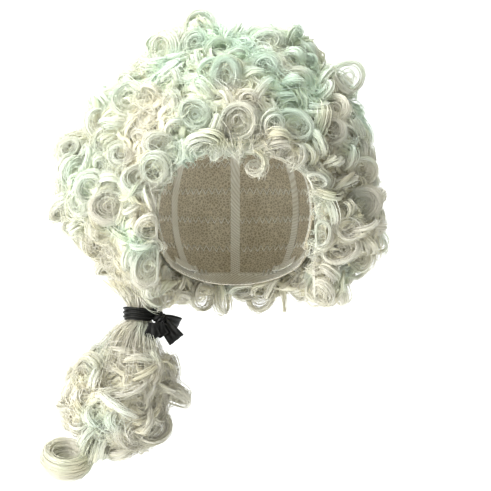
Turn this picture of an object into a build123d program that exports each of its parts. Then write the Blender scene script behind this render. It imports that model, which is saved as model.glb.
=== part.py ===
from build123d import *
import math
import os

# Costume wig: an open weft cap covered in rows of ring curls, with a low side ponytail tied
# in ribbon. +X is the wearer's left, -Y is the way the face looks, +Z is up. The origin is the
# middle of the head opening, at the height of the brow.

os.makedirs("parts", exist_ok=True)

# Driving dimensions, in millimetres
HEAD = (78.0, 97.0, 88.0)        # half width, half depth and half height of the head form
HEAD_CENTRE = (0, 0, -8)
TAPE = 1.0                       # elastic bands, strips and patch, the layer next to the head
NET = 0.8                        # stretch net over them
TRACK = 1.6                      # sewn weft tape outside the net
BAND_WIDTH = 12.0                # bands along the rim
STRIP_WIDTH = 9.0                # cap strips from crown to rim
TRACK_HALF_ANGLE = 2.2           # half width of a weft track, in degrees seen from the head centre
CROWN_PATCH = (36.0, 44.0)       # half width and half depth of the closed patch
REACH = 220.0                    # longer than any hair, for cutting shapes
SEAM_HEADING = -62.0             # where a rounded mass has its seam, clear of every strip

# Outer shape of the curls: overlapping rounded masses, each (centre, half sizes)
CURL_MASSES = (
    ((-8, 8, 16), (140, 136, 138)),
    ((-33, 0, 112), (54, 54, 54)),
    ((33, 0, 108), (53, 53, 53)),
    ((84, -10, -24), (55, 78, 50)),
    ((-106, -10, 2), (57, 78, 60)),
    ((-116, -6, 76), (25, 48, 20)),
    ((-140, -8, 44), (29, 44, 21)),
    ((88, -2, 104), (24, 46, 20)),
    ((76, -10, -70), (30, 60, 32)),
)
FACE_LEFT, FACE_RIGHT, FACE_TOP = -66.0, 71.0, 36.0
FACE_CORNER = 46.0               # rounding of the upper corners of the face opening
NECK = (66.0, 66.0)              # half width and half depth of the way in from below
NECK_MIDDLE_Y = -6.0
HEM_Z = -96.0                    # bottom of the curls under the head centre
HEM_SLOPE = 3.4                  # degrees: the hem hangs lower on the ponytail side

# Weft rows: angles from straight up, seen from the head centre, where each row ends
ROW_ENDS = (22, 38, 54, 70, 87, 104, 150)

# Ponytail
TIE = (-86, -12, -104)           # middle of the hair tie, where the ponytail swings
BEND = (-89, -16, -118)          # the neck of the ponytail gives here
END_PIVOT = (-131, -40, -212)    # where the last curl leaves the ponytail
END_CURL = (-150, -40, -233)     # middle of the last ring curl
NECK_RADIUS = 7.5
RECESS_TOP, RECESS_RADIUS = 13.0, 27.0    # room over the tie for the ribbon to swing
TIE_RADIUS, TIE_CORD = 12.0, 2.0          # centre line and cord radius of the elastic tie
WRAP_HEIGHT = 10.0
RIBBON_WIDTH = 16.0
RIBBON = 0.8                              # two layers of satin
TAIL_LENGTHS = {"short": 11.0, "long": 13.0}

# Curls of the ponytail: overlapping rounded masses, each (centre, half sizes)
PONYTAIL_MASSES = (
    ((-90, -30, -165), (42, 36, 36)),
    ((-108, -38, -185), (49, 40, 48)),
)
END_RING, END_LOCK, END_SHIFT = 16.0, 7.0, 5.0    # the last curl: ring, lock, half its pitch
END_ROOM = 34.0                           # room round the last curl for its swing


def ellipsoid(half, centre):
    """A closed rounded mass with the given half sizes."""
    with BuildPart() as body:
        Sphere(half[2], rotation=(0, 0, SEAM_HEADING))
        scale(by=(half[0] / half[2], half[1] / half[2], 1))
    return body.part.moved(Location(centre))


def head(outward):
    """The head form, grown outward by a distance."""
    return ellipsoid([h + outward for h in HEAD], HEAD_CENTRE)


def skin(inner, thickness, inside, outside=()):
    """A piece of one cap layer: inside some shapes and outside others."""
    with BuildPart() as piece:
        add(inside[0])
        for shape in inside[1:]:
            add(shape, mode=Mode.INTERSECT)
        for shape in outside:
            add(shape, mode=Mode.SUBTRACT)
        add(head(inner + thickness), mode=Mode.INTERSECT)
        add(head(inner), mode=Mode.SUBTRACT)
    return piece


def below_rim(margin):
    """Everything under the cap's rim, seen from the side, grown upward by a margin."""
    with BuildPart() as body:
        with BuildSketch(Plane.YZ):
            with BuildLine():
                rim = FilletPolyline(
                    (-150, 40), (-82, 40), (-50, 20), (-46, -46), (-26, -46), (-12, -14),
                    (4, -14), (26, -62), (58, -80), (150, -80), radius=7,
                )
                Polyline(rim @ 1, (150, -REACH), (-150, -REACH), rim @ 0)
            make_face()
            if margin:
                offset(amount=margin, kind=Kind.ARC)
        extrude(amount=HEAD[0] + 40, both=True)
    return body.part


def ring_wedge(start, end):
    """Everything between two cones about the vertical through the head centre."""
    low, high = math.radians(start), math.radians(end)
    tip = HEAD_CENTRE[2]
    far = 2 * REACH
    with BuildPart() as wedge:
        with BuildSketch(Plane.XZ):
            with BuildLine():
                Polyline(
                    (0, tip),
                    (far * math.sin(low), tip + far * math.cos(low)),
                    (far * math.sin((low + high) / 2), tip + far * math.cos((low + high) / 2)),
                    (far * math.sin(high), tip + far * math.cos(high)),
                    close=True,
                )
            make_face()
        revolve(axis=Axis.Z)
    return wedge.part


def block(x_from, x_to, y_from, y_to):
    """A tall block over a stretch of the plan."""
    with BuildPart() as body:
        with Locations(((x_from + x_to) / 2, (y_from + y_to) / 2, 0)):
            Box(x_to - x_from, y_to - y_from, 2 * REACH)
    return body.part


def keep(node, label):
    """Name a finished piece and write it."""
    node.part.label = label
    export_step(node.part, f"parts/{label}.step")


# --- Cap -------------------------------------------------------------------------------------

under_rim = below_rim(0)
under_bands = below_rim(BAND_WIDTH)

cap_net = skin(TAPE, NET, inside=[block(-REACH, REACH, -REACH, REACH)], outside=[under_rim])
keep(cap_net, "cap_net")

# The rim band is sewn from four lengths that meet at the temples and behind the ears
TEMPLE_Y, BEHIND_EAR_Y = -47.0, 24.0
BAND_PIECES = {
    "front_band": (-REACH, REACH, -REACH, TEMPLE_Y),
    "ear_tab_right": (-REACH, 0, TEMPLE_Y, BEHIND_EAR_Y),
    "ear_tab_left": (0, REACH, TEMPLE_Y, BEHIND_EAR_Y),
    "nape_band": (-REACH, REACH, BEHIND_EAR_Y, REACH),
}
for label, stretch in BAND_PIECES.items():
    rim_band = skin(0, TAPE, inside=[under_bands, block(*stretch)], outside=[under_rim])
    keep(rim_band, label)

with BuildPart() as patch_shape:
    with BuildSketch():
        Ellipse(*CROWN_PATCH)
    extrude(amount=REACH)
crown_patch = skin(0, TAPE, inside=[patch_shape.part])
keep(crown_patch, "crown_patch")

STRIP_HEADINGS = {
    "cap_strip_front": -90,
    "cap_strip_back": 90,
    "cap_strip_left": 0,
    "cap_strip_right": 180,
    "cap_strip_back_left": 48,
    "cap_strip_back_right": 132,
}
for label, heading in STRIP_HEADINGS.items():
    with BuildPart() as strip_shape:
        with Locations(Location((0, 0, 0), (0, 0, heading))):
            Box(REACH, STRIP_WIDTH, 2 * REACH,
                align=(Align.MIN, Align.CENTER, Align.CENTER))
    cap_strip = skin(0, TAPE, inside=[strip_shape.part],
                     outside=[under_bands, patch_shape.part])
    keep(cap_strip, label)

# --- Adjusters: an elastic strap with a hook on each side, and loops to hook it into ----------

ADJUSTER_Y, ADJUSTER_Z = 52.0, -66.0      # where the adjusters lie on the nape band
ADJUSTER_HEADING = (-40, 30, -13)         # along the band, towards the middle of the nape
NAPE_CURVE = 80.0                         # radius of the band along that way
STRAP_WIDTH, STRAP_THICK = 8.0, 0.9
LOOP_FOOT, LOOP_HEIGHT = 0.8, 1.2         # the loops stand clear of the curve of the band
HOOK_CLEARANCE = 0.6


def adjuster_plane(side):
    """A plane across the nape curve: its x axis points out through the band."""
    across = (ADJUSTER_Y / HEAD[1]) ** 2 + ((ADJUSTER_Z - HEAD_CENTRE[2]) / HEAD[2]) ** 2
    on_band = Vector(side * HEAD[0] * math.sqrt(1 - across), ADJUSTER_Y, ADJUSTER_Z)
    outward = Vector(
        on_band.X / HEAD[0] ** 2,
        on_band.Y / HEAD[1] ** 2,
        (on_band.Z - HEAD_CENTRE[2]) / HEAD[2] ** 2,
    ).normalized()
    along = Vector(side * ADJUSTER_HEADING[0], ADJUSTER_HEADING[1], ADJUSTER_HEADING[2])
    curve_centre = on_band - outward * NAPE_CURVE
    return Plane(curve_centre, x_dir=outward, z_dir=outward.cross(along))


def arc_strip(plane, inset, thickness, start, size, width):
    """A flat strip that follows the nape curve, set in from the band."""
    outer_radius = NAPE_CURVE - inset
    with BuildPart() as strip:
        with BuildSketch(plane):
            with BuildLine():
                outer = CenterArc((0, 0), outer_radius, start, size)
                inner = CenterArc((0, 0), outer_radius - thickness, start, size)
                Line(outer @ 0, inner @ 0)
                Line(outer @ 1, inner @ 1)
            make_face()
        extrude(amount=width / 2, both=True)
    return strip.part


LOOP_ANGLES = (0.5, 4.0, 7.5, 11.0)
STRAP_START, STRAP_SWEEP = -19.0, 16.0
HOOK_SWEEP = 5.0
for side, side_name in ((1, "left"), (-1, "right")):
    plane = adjuster_plane(side)
    strap_inset = LOOP_FOOT + LOOP_HEIGHT + HOOK_CLEARANCE

    with BuildPart() as hook_loops:
        for angle in LOOP_ANGLES:
            add(arc_strip(plane, LOOP_FOOT, LOOP_HEIGHT, angle, 1.0, STRAP_WIDTH - 1))
    keep(hook_loops, f"hook_loops_{side_name}")

    with BuildPart() as adjuster_strap:
        add(arc_strip(plane, strap_inset, STRAP_THICK, STRAP_START, STRAP_SWEEP, STRAP_WIDTH))
    keep(adjuster_strap, f"adjuster_strap_{side_name}")

    with BuildPart() as adjuster_hook:
        hook_start = STRAP_START + STRAP_SWEEP
        add(arc_strip(plane, strap_inset, 1.2, hook_start, HOOK_SWEEP, STRAP_WIDTH - 2))
        add(arc_strip(plane, strap_inset, 2.4, hook_start + HOOK_SWEEP - 1, 1.0,
                      STRAP_WIDTH - 2))
    keep(adjuster_hook, f"adjuster_hook_{side_name}")

# --- Weft rows: a sewn track and the hank of curls that hangs from it ------------------------

# Hair combed together from the lower rows, down to the tie
GATHER_GAP = 9.0                 # from the middle of the tie up to the combed hair
GATHER_TOP = 33.0
with BuildPart() as gathered_hair:
    with BuildSketch(Plane(TIE).offset(GATHER_GAP)):
        Circle(NECK_RADIUS + 1.5)
    with BuildSketch(Plane(TIE).offset(GATHER_TOP)):
        Circle(NECK_RADIUS + 11)
    loft()
keep(gathered_hair, "gathered_hair")

with BuildPart() as curls:
    for centre, half in CURL_MASSES:
        add(ellipsoid(half, centre))
    add(head(TAPE + NET + TRACK), mode=Mode.SUBTRACT)
    with BuildSketch(Plane.XZ):
        with Locations(((FACE_LEFT + FACE_RIGHT) / 2, FACE_TOP - REACH / 2)):
            RectangleRounded(FACE_RIGHT - FACE_LEFT, REACH, FACE_CORNER)
    extrude(amount=REACH, mode=Mode.SUBTRACT)
    with BuildSketch(Plane.XY.offset(HEAD_CENTRE[2] - HEAD[2] / 2)):
        with Locations((0, NECK_MIDDLE_Y)):
            Ellipse(*NECK)
    extrude(amount=-REACH, mode=Mode.SUBTRACT)
    with Locations(Location((0, 0, HEM_Z), (0, -HEM_SLOPE, 0))):
        Box(3 * REACH, 3 * REACH, REACH, align=(Align.CENTER, Align.CENTER, Align.MAX),
            mode=Mode.SUBTRACT)
    with Locations((TIE[0], TIE[1], TIE[2] + RECESS_TOP)):
        Cylinder(RECESS_RADIUS, REACH / 2, align=(Align.CENTER, Align.CENTER, Align.MAX),
                 mode=Mode.SUBTRACT)
    add(gathered_hair.part, mode=Mode.SUBTRACT)

with BuildPart() as crown_curls:
    add(curls.part)
    add(ring_wedge(0, ROW_ENDS[0]), mode=Mode.INTERSECT)
keep(crown_curls, "crown_curls")

ROW_NAMES = ("top", "upper", "brow", "temple", "ear", "nape")
for row_name, start, end in zip(ROW_NAMES, ROW_ENDS[:-1], ROW_ENDS[1:]):
    sewn_at = min((start + end) / 2, start + 9)
    track_ring = ring_wedge(sewn_at - TRACK_HALF_ANGLE, sewn_at + TRACK_HALF_ANGLE)
    weft_track = skin(TAPE + NET, TRACK, inside=[track_ring], outside=[under_rim])
    keep(weft_track, f"{row_name}_weft_track")

    with BuildPart() as weft_curls:
        add(curls.part)
        add(ring_wedge(start, end), mode=Mode.INTERSECT)
    keep(weft_curls, f"{row_name}_curls")

# --- Ponytail --------------------------------------------------------------------------------

with BuildPart() as hair_tie:
    with Locations(TIE):
        Torus(TIE_RADIUS, TIE_CORD)
keep(hair_tie, "hair_tie")

neck_way = Vector(BEND) - Vector(TIE)
with BuildPart() as ponytail_neck:
    with Locations(TIE, BEND):
        Sphere(NECK_RADIUS)
    with BuildSketch(Plane(TIE, z_dir=neck_way)):
        Circle(NECK_RADIUS)
    extrude(amount=neck_way.length)
keep(ponytail_neck, "ponytail_neck")

NECK_GAP = 9.5                   # from the bend down to the loose curls
with BuildPart() as ponytail_curls:
    for centre, half in PONYTAIL_MASSES:
        add(ellipsoid(half, centre))
    with BuildSketch(Plane(BEND).offset(-NECK_GAP)):
        Circle(NECK_RADIUS + 3.5)
    with BuildSketch(Plane(BEND).offset(-NECK_GAP - 20)):
        Circle(NECK_RADIUS + 18)
    loft()
    with Locations(END_CURL):
        Sphere(END_ROOM, mode=Mode.SUBTRACT)
keep(ponytail_curls, "ponytail_curls")

END_AXIS = Vector(0.10, -0.50, 0.86)     # the last curl is a short coil, seen from above
with BuildPart() as ponytail_end_curl:
    for shift in (-END_SHIFT, END_SHIFT):
        with Locations(Plane(Vector(END_CURL) + END_AXIS * shift, z_dir=END_AXIS).location):
            Torus(END_RING, END_LOCK)
keep(ponytail_end_curl, "ponytail_end_curl")

# --- Ribbon ----------------------------------------------------------------------------------

wrap_inner = TIE_RADIUS + TIE_CORD
with BuildPart() as ribbon_wrap:
    with BuildSketch(Plane(TIE).offset(-WRAP_HEIGHT / 2)):
        Circle(wrap_inner + RIBBON)
        Circle(wrap_inner, mode=Mode.SUBTRACT)
    extrude(amount=WRAP_HEIGHT)
keep(ribbon_wrap, "ribbon_wrap")

KNOT = Vector(-68, -21, -108)
KNOT_HALF = 5.5
with BuildPart() as ribbon_knot:
    with Locations(KNOT):
        Sphere(KNOT_HALF)
    with Locations(TIE):
        Cylinder(wrap_inner + RIBBON, 4 * KNOT_HALF, mode=Mode.SUBTRACT)
keep(ribbon_knot, "ribbon_knot")

LOOP_LENGTH, LOOP_THICK = 20.0, 7.0
BOW_HEADINGS = {"front": (0.62, -0.16, -0.77), "back": (0.62, 0.72, -0.30)}
for bow_name, heading in BOW_HEADINGS.items():
    along = Vector(heading).normalized()
    across = along.cross(Vector(0, 1, 0)).normalized()
    with BuildPart() as bow_loop:
        with BuildSketch(Plane(KNOT, x_dir=along, z_dir=across)):
            with Locations((KNOT_HALF + LOOP_LENGTH / 2, 0)):
                Ellipse(LOOP_LENGTH / 2, LOOP_THICK / 2)
                Ellipse(LOOP_LENGTH / 2 - RIBBON, LOOP_THICK / 2 - RIBBON, mode=Mode.SUBTRACT)
        extrude(amount=RIBBON_WIDTH / 2, both=True)
    keep(bow_loop, f"bow_loop_{bow_name}")

TAIL_PLACES = {"short": (1.0, -8.0), "long": (-6.0, -10.5)}
for tail_name, (right, back) in TAIL_PLACES.items():
    length = TAIL_LENGTHS[tail_name]
    tail_top = (KNOT.X + right, KNOT.Y + back, KNOT.Z - KNOT_HALF - 1)
    with BuildPart() as ribbon_tail:
        with BuildSketch(Plane(tail_top, x_dir=(1, 0, 0), z_dir=(0, -1, 0))):
            with BuildLine():
                Polyline(
                    (-4, 0), (4, 0), (RIBBON_WIDTH / 2, -length + 5), (0, -length),
                    (-RIBBON_WIDTH / 2, -length + 5), close=True,
                )
            make_face()
        extrude(amount=RIBBON / 2, both=True)
    keep(ribbon_tail, f"ribbon_tail_{tail_name}")
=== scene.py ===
import math

import bpy
import numpy as np
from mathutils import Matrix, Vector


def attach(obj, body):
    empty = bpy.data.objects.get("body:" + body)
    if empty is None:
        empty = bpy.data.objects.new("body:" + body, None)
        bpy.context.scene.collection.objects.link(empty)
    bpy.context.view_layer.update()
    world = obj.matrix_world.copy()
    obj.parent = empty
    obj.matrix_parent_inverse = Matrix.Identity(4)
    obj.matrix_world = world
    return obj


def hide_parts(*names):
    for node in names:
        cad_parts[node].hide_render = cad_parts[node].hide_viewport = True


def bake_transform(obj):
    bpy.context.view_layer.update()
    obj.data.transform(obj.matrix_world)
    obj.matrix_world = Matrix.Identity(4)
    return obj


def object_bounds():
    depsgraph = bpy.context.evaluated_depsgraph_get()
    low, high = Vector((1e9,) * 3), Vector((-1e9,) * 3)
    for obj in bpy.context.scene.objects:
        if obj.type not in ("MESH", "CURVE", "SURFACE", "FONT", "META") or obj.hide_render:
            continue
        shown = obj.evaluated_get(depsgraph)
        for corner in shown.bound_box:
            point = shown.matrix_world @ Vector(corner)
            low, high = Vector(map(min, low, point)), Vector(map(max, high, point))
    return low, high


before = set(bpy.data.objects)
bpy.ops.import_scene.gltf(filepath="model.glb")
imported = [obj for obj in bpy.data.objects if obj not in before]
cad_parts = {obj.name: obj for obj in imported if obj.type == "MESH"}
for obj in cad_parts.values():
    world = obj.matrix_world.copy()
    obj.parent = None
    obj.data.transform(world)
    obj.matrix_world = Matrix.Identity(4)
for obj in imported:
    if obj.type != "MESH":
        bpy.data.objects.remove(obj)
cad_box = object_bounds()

# Costume wig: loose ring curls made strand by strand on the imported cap. Work is in millimetres
# in the CAD's own frame, and every mesh is scaled to metres as it is written.

MM = 0.001
TRIANGLES = 190000               # most triangles in one piece of hair
TRESSES = 4                      # thinner tresses in one lock
CORE_SHARE = 0.14                # radius of a lock's soft core, as a share of its width
INNER_SHARE = 0.32               # share of a lock's strands that cross the inside of its ring
RING_PITCH = 4.0                 # how far a ring moves along its axis in one turn
MAT_TRESSES = 3                  # flat tresses at each place under the rings
MAT_LENGTH, MAT_POINTS = 62.0, 14
FLYAWAY_LENGTH, FLYAWAY_POINTS = 78.0, 18

# Driving dimensions, the same as the CAD's
HEAD = np.array([78.0, 97.0, 88.0])
HEAD_CENTRE = np.array([0.0, 0.0, -8.0])
CAP_THICKNESS = 3.4
CURL_MASSES = (
    ((-8, 8, 16), (140, 136, 138)),
    ((-33, 0, 112), (54, 54, 54)),
    ((33, 0, 108), (53, 53, 53)),
    ((84, -10, -24), (55, 78, 50)),
    ((-106, -10, 2), (57, 78, 60)),
    ((-116, -6, 76), (25, 48, 20)),
    ((-140, -8, 44), (29, 44, 21)),
    ((88, -2, 104), (24, 46, 20)),
    ((76, -10, -70), (30, 60, 32)),
)
PONYTAIL_MASSES = (
    ((-90, -30, -165), (42, 36, 36)),
    ((-108, -38, -185), (49, 40, 48)),
)
FACE_LEFT, FACE_RIGHT, FACE_TOP, FACE_CORNER = -66.0, 71.0, 36.0, 46.0
NECK = np.array([66.0, 66.0])
NECK_MIDDLE_Y = -6.0
HEM_Z, HEM_SLOPE = -96.0, math.radians(3.4)
ROW_ENDS = (0, 22, 38, 54, 70, 87, 104, 180)
ROW_NODES = ("crown_curls", "top_curls", "upper_curls", "brow_curls", "temple_curls",
             "ear_curls", "nape_curls")
TIE = np.array([-86.0, -12.0, -104.0])
BEND = np.array([-89.0, -16.0, -118.0])
END_PIVOT = np.array([-131.0, -40.0, -212.0])
END_CURL = np.array([-150.0, -40.0, -233.0])

# Room left free of other hair round the tie, and round the end curl by rings and by flat tresses
TIE_ROOM = 21.0
END_RING_ROOM, END_MAT_ROOM = 35.0, 43.0

# --- Camera, floor and light -----------------------------------------------------------------

VIEW_MIDDLE = np.array([10.0, 0.0, -42.0])
CAMERA_DISTANCE = 1500.0
VIEW_WIDTH = 452.0


def make_camera():
    data = bpy.data.cameras.new("camera")
    data.lens = data.sensor_width * CAMERA_DISTANCE / VIEW_WIDTH
    camera = bpy.data.objects.new("camera", data)
    bpy.context.scene.collection.objects.link(camera)
    camera.location = (VIEW_MIDDLE - [0, CAMERA_DISTANCE, 0]) * MM
    camera.rotation_euler = (math.pi / 2, 0, 0)
    bpy.context.scene.camera = camera


def make_light(name, place, aim, size, watts, colour=(1, 1, 1)):
    data = bpy.data.lights.new(name, "AREA")
    data.size = size
    data.energy = watts
    data.color = colour
    light = bpy.data.objects.new(name, data)
    bpy.context.scene.collection.objects.link(light)
    light.location = place
    way = np.array(aim, float) - np.array(place, float)
    light.rotation_euler = (
        math.atan2(math.hypot(way[0], way[1]), -way[2]), 0, math.atan2(way[1], way[0]) - math.pi / 2,
    )


def simple_material(name, colour, roughness):
    material = bpy.data.materials.new(name)
    material.use_nodes = True
    shader = material.node_tree.nodes["Principled BSDF"]
    shader.inputs["Base Color"].default_value = (*colour, 1)
    shader.inputs["Roughness"].default_value = roughness
    return material


def make_stage():
    """A pale floor well under the wig, which curves up into a backdrop."""
    side, back, low = 6.0, 2.6, cad_box[0][2] - 0.12
    profile = [(-side, low), (back - 1.0, low)]
    profile += [(back - 1.0 + math.sin(a), low + 1.0 - math.cos(a))
                for a in np.linspace(0.1, math.pi / 2, 12)]
    profile += [(back, low + 5.0)]
    points = [(x, y, z) for x in (-side, side) for y, z in profile]
    count = len(profile)
    faces = [(i, i + 1, count + i + 1, count + i) for i in range(count - 1)]
    mesh = bpy.data.meshes.new("floor")
    mesh.from_pydata(points, [], faces)
    mesh.polygons.foreach_set("use_smooth", [True] * len(faces))
    mesh.materials.append(simple_material("pale_floor", (0.93, 0.93, 0.93), 0.9))
    floor = bpy.data.objects.new("floor", mesh)
    bpy.context.scene.collection.objects.link(floor)


def make_world():
    world = bpy.data.worlds.new("studio")
    world.use_nodes = True
    world.node_tree.nodes["Background"].inputs["Color"].default_value = (1.0, 0.93, 0.83, 1)
    world.node_tree.nodes["Background"].inputs["Strength"].default_value = 0.15
    bpy.context.scene.world = world


bpy.context.scene.view_settings.view_transform = "Standard"
make_camera()
make_stage()
make_world()
# Name, place, what it points at, size in metres, watts and colour
for light in (
    ("key", (-1.7, -1.35, 1.2), (-0.03, 0, 0.0), 1.8, 47, (0.97, 1.0, 0.97)),
    ("left_fill", (-1.5, -1.2, 0.15), (-0.12, 0, -0.16), 0.9, 19, (1.0, 0.98, 0.96)),
    ("top", (-0.4, 0.2, 1.8), (0, 0, 0.0), 1.3, 20, (0.82, 1.0, 0.94)),
    ("back_fill", (0.6, 1.3, 0.9), (0, 0, 0.0), 1.0, 5),
    ("backdrop_wash", (0, 0.6, 1.9), (0, 2.6, 0.1), 2.6, 64),
):
    make_light(*light)

# --- The space the curls fill ----------------------------------------------------------------


def ellipsoid_distance(points, centre, half):
    """Roughly how far points lie outside an ellipsoid."""
    scaled = (points - centre) / half
    length = np.linalg.norm(scaled, axis=-1)
    slope = np.linalg.norm(scaled / half, axis=-1)
    return length * (length - 1) / np.maximum(slope, 1e-9)


def head_room(points):
    """How far points lie outside everything the curls must leave open: head, face and neck."""
    head = ellipsoid_distance(points, HEAD_CENTRE, HEAD + CAP_THICKNESS)
    x, y, z = points[..., 0], points[..., 1], points[..., 2]
    wide = np.abs(x - (FACE_LEFT + FACE_RIGHT) / 2) - (FACE_RIGHT - FACE_LEFT) / 2 + FACE_CORNER
    tall = z - FACE_TOP + FACE_CORNER
    face = np.hypot(np.maximum(wide, 0), np.maximum(tall, 0)) - FACE_CORNER
    face += np.minimum(np.maximum(wide, tall), 0)
    face = np.maximum(face, y)
    neck_at = np.hypot(x / NECK[0], (y - NECK_MIDDLE_Y) / NECK[1])
    neck = np.maximum((neck_at - 1) * NECK[0], z - HEAD_CENTRE[2] + HEAD[2] / 2)
    return np.minimum(np.minimum(head, face), neck)


def tie_room(points):
    """Where the tied neck of the ponytail swings, which the curls on the head stay out of."""
    run = BEND - TIE
    share = np.clip((points - TIE) @ run / (run @ run), 0, 1)
    return np.linalg.norm(points - TIE - share[..., None] * run, axis=-1) - TIE_ROOM


def kept_open(points):
    """Both spaces the curls on the head stay out of."""
    return np.minimum(head_room(points), tie_room(points))


def curl_space(points):
    """Distance to the outer surface of the curls, negative inside them."""
    outer = np.min([ellipsoid_distance(points, np.array(c), np.array(h, float))
                    for c, h in CURL_MASSES], axis=0)
    hem = (HEM_Z + points[..., 0] * math.tan(HEM_SLOPE)) - points[..., 2]
    return np.maximum(np.maximum(outer, hem), -head_room(points))


def ponytail_space(points):
    return np.min([ellipsoid_distance(points, np.array(c), np.array(h, float))
                   for c, h in PONYTAIL_MASSES], axis=0)


def outward(space, points):
    """The direction in which a space's distance grows fastest."""
    step = 1.0
    grad = np.stack([space(points + step * e) - space(points - step * e) for e in np.eye(3)], -1)
    return unit(grad)


def unit(vectors):
    return vectors / np.maximum(np.linalg.norm(vectors, axis=-1, keepdims=True), 1e-9)


def settle(space, points, depth):
    """Moves points onto the skin that lies a depth inside a space."""
    for _ in range(6):
        points = points - outward(space, points) * (space(points) + depth)[:, None]
    return points


def keep_out(room, points, margin=0.8):
    """Moves points that have gone into a space that must stay open back to its edge."""
    flat = points.reshape(-1, 3).copy()
    for _ in range(3):
        at = np.nonzero(room(flat) < margin)[0]
        flat[at] += outward(room, flat[at]) * (margin - room(flat[at]))[:, None]
    return flat.reshape(points.shape)


def scatter(space, low, high, spacing, depth, rng, placed=()):
    """Points spread evenly over a skin inside a space, away from those already placed."""
    tries = rng.uniform(low, high, (60000, 3))
    tries = tries[np.abs(space(tries) + depth) < 12]
    tries = settle(space, tries, depth)
    tries = tries[np.abs(space(tries) + depth) < 1.5]
    kept = [np.array(p, float) for p in placed]
    start = len(kept)
    cells = {}

    def cell_of(point):
        return tuple((point // spacing).astype(int))

    for point in kept:
        cells.setdefault(cell_of(point), []).append(point)
    for point in tries:
        at = cell_of(point)
        near = (other for i in (-1, 0, 1) for j in (-1, 0, 1) for k in (-1, 0, 1)
                for other in cells.get((at[0] + i, at[1] + j, at[2] + k), ()))
        if all(np.sum((point - other) ** 2) > spacing ** 2 for other in near):
            cells.setdefault(at, []).append(point)
            kept.append(point)
    return np.array(kept[start:])


# --- Hair ------------------------------------------------------------------------------------


def strand_mesh(name, lines, radius, cross, sides=3, flat=1.0):
    """One mesh of thin closed tubes along many lines; lines is strands x points x 3, in mm."""
    strands, count, _ = lines.shape
    ahead = unit(np.gradient(lines, axis=1))
    wide = unit(cross - ahead * np.sum(cross * ahead, axis=-1, keepdims=True))
    deep = np.cross(ahead, wide)
    turn = np.arange(sides) * 2 * math.pi / sides
    ring = (wide[:, :, None] * np.cos(turn)[None, None, :, None]
            + deep[:, :, None] * (flat * np.sin(turn))[None, None, :, None])
    points = lines[:, :, None] + ring * radius[:, :, None, None]
    points = points.reshape(-1, 3) * MM
    s, i, j = np.meshgrid(np.arange(strands), np.arange(count - 1), np.arange(sides), indexing="ij")
    first = s * count * sides + i * sides
    following = (j + 1) % sides
    quads = np.stack([first + j, first + following, first + sides + following,
                      first + sides + j], -1).reshape(-1, 4)
    root = np.arange(strands)[:, None] * count * sides + np.arange(sides)
    ends = np.concatenate([root[:, ::-1], root + (count - 1) * sides])
    mesh = bpy.data.meshes.new(name)
    mesh.vertices.add(len(points))
    mesh.vertices.foreach_set("co", points.astype(np.float32).ravel())
    corners = np.concatenate([quads.ravel(), ends.ravel()])
    mesh.loops.add(len(corners))
    mesh.loops.foreach_set("vertex_index", corners.astype(np.int32))
    starts = np.concatenate([np.arange(len(quads)) * 4, quads.size + np.arange(len(ends)) * sides])
    mesh.polygons.add(len(starts))
    mesh.polygons.foreach_set("loop_start", starts.astype(np.int32))
    mesh.polygons.foreach_set("use_smooth", np.arange(len(starts)) < len(quads))
    along = np.stack([i, i, i + 1, i + 1], -1) / (count - 1)
    round_it = np.stack([j, j + 1, j + 1, j], -1) / sides
    across = (s[..., None] + 0.1 + 0.8 * round_it) / strands
    uv = np.stack([along, across], -1).reshape(-1, 2)
    end_uv = np.stack([ends // sides % count / (count - 1),
                       (ends // (sides * count) + 0.1 + 0.8 * (ends % sides) / sides) / strands], -1)
    layer = mesh.uv_layers.new(name="OFBake")
    layer.data.foreach_set("uv", np.concatenate([uv, end_uv.reshape(-1, 2)]).astype(np.float32).ravel())
    mesh.update()
    mesh.validate()
    return mesh


def add_piece(name, mesh, material, body):
    mesh.materials.append(material)
    piece = bpy.data.objects.new(name, mesh)
    bpy.context.scene.collection.objects.link(piece)
    if body:
        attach(piece, body)
    return piece


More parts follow.
